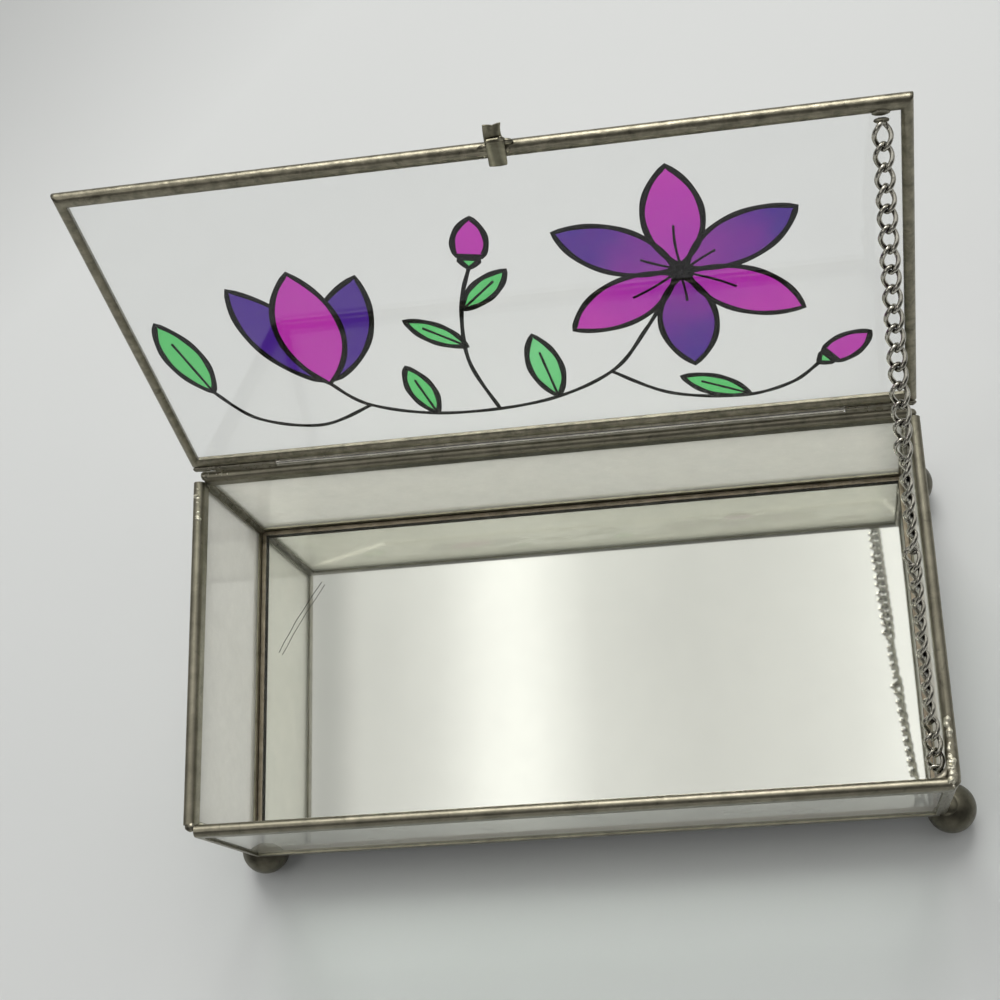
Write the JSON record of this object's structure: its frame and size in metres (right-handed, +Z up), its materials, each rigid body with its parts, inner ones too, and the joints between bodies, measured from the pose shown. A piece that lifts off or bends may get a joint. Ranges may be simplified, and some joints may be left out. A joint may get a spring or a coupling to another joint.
{
  "type": "glass casket box",
  "caption": "Long low glass-walled casket with soldered metal came frames, mirror floor, ball feet, a rod-hinged glass lid with painted flowers and a stay chain.",
  "frame": {"origin": "on the surface the box stands on, below the middle of the space between the four walls", "axes": "+X along the box to the right as seen from the front, +Y to the back where the hinge is, +Z up"},
  "size_m": [0.1961, 0.1319, 0.1542],
  "materials": {
    "came_metal": "aged pewter-grey came, soft satin with brushed streaks",
    "ball_metal": "darker aged metal, softly mottled",
    "solder": "tin solder, lumpy and satin",
    "hinge_metal": "aged rod and tube, satin",
    "chain_steel": "worn plated wire",
    "edge_foil": "thin dull strip",
    "clear_glass": "clear window glass with a faint green edge",
    "mirror_glass": "clear float glass",
    "silver_coat": "silvered back of the mirror",
    "backing_paint": "matt grey paint",
    "outline_black": "raised black outline, slightly glossy",
    "lacquer_purple": "translucent purple lacquer",
    "lacquer_magenta": "translucent magenta lacquer",
    "lacquer_green": "translucent green lacquer"
  },
  "bodies": {
    "box": {"front_came": "came_metal", "back_came": "came_metal", "left_came": "came_metal", "right_came": "came_metal", "front_glass": "clear_glass", "back_glass": "clear_glass", "left_glass": "clear_glass", "right_glass": "clear_glass", "mirror_pane": "mirror_glass", "mirror_silver": "silver_coat", "mirror_paint": "backing_paint", "mirror_edge_strip": "edge_foil", "floor_solder_front": "solder", "floor_solder_back": "solder", "floor_solder_left": "solder", "floor_solder_right": "solder", "corner_seam_fl": "solder", "corner_seam_fr": "solder", "corner_seam_bl": "solder", "corner_seam_br": "solder", "ball_foot_fl": "ball_metal", "ball_foot_fr": "ball_metal", "ball_foot_bl": "ball_metal", "ball_foot_br": "ball_metal", "foot_solder_fl": "solder", "foot_solder_fr": "solder", "foot_solder_bl": "solder", "foot_solder_br": "solder", "hinge_rod": "hinge_metal", "rod_solder_left": "solder", "rod_solder_right": "solder", "chain_hook": "hinge_metal", "hook_solder": "solder", "stay_chain": "chain_steel"},
    "lid": {"lid_came": "came_metal", "lid_glass": "clear_glass", "hinge_tube": "hinge_metal", "tube_solder": "solder", "lift_tab": "came_metal", "tab_solder": "solder", "chain_eye": "chain_steel", "chain_top_solder": "solder", "picture_lead": "outline_black", "picture_purple": "lacquer_purple", "picture_magenta": "lacquer_magenta", "picture_green": "lacquer_green"}
  },
  "joints": [
    {"name": "lid_hinge", "type": "hinge", "parent": "box", "child": "lid", "pos_m": [0, 0.0465, 0.06223], "axis": [1, 0, 0], "range_deg": [0, 110.3], "deforming": ["stay_chain"]}
  ]
}
